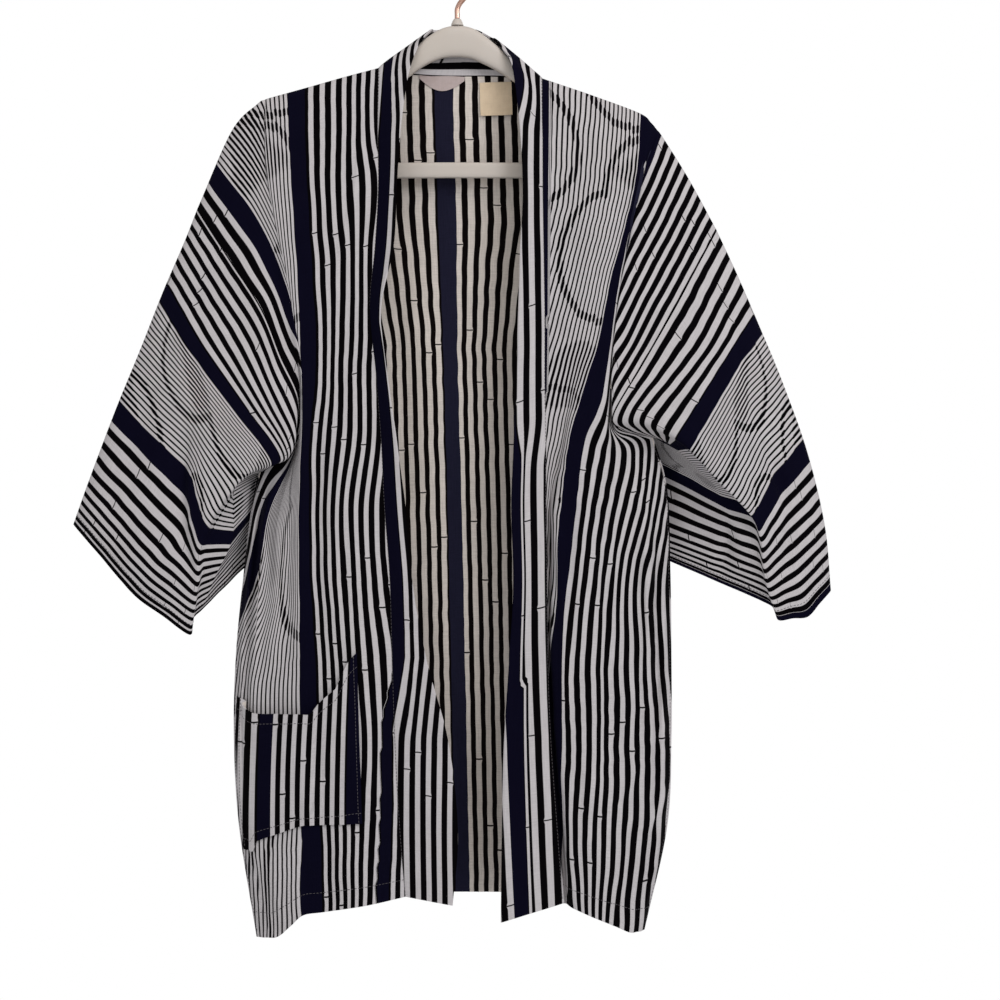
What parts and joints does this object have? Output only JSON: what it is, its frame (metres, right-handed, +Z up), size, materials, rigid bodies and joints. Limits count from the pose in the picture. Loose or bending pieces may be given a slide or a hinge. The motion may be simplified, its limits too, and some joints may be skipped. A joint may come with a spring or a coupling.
{
  "type": "happi coat on a hanger",
  "caption": "Open-fronted striped cotton happi coat with wide sleeves, a long collar band and a patch pocket, hanging on a plastic hanger with a metal hook.",
  "frame": {"origin": "inside the top of the hanger's hook, where a rail or peg carries it", "axes": "+Z up, the coat's front faces -Y, its right side as worn is at -X"},
  "size_m": [0.732, 0.0738, 0.9477],
  "materials": {
    "striped_cotton": "plain-woven cotton with black, navy and off-white stripes",
    "collar_cotton": "the same cotton, doubled as a band",
    "label_cloth": "bare woven label cloth",
    "hanger_plastic": "moulded plastic, pale warm grey",
    "hook_metal": "rose-copper plated wire"
  },
  "bodies": {
    "root": {"front_right": "striped_cotton", "front_left": "striped_cotton", "back_panel": "striped_cotton", "sleeve_right": "striped_cotton", "sleeve_left": "striped_cotton", "pocket": "striped_cotton", "collar_right": "collar_cotton", "collar_left": "collar_cotton", "neck_label": "label_cloth", "care_label": "label_cloth", "hanger_arms": "hanger_plastic", "hanger_bar": "hanger_plastic", "hanger_neck": "hanger_plastic", "hanger_hook": "hook_metal"}
  },
  "joints": []
}
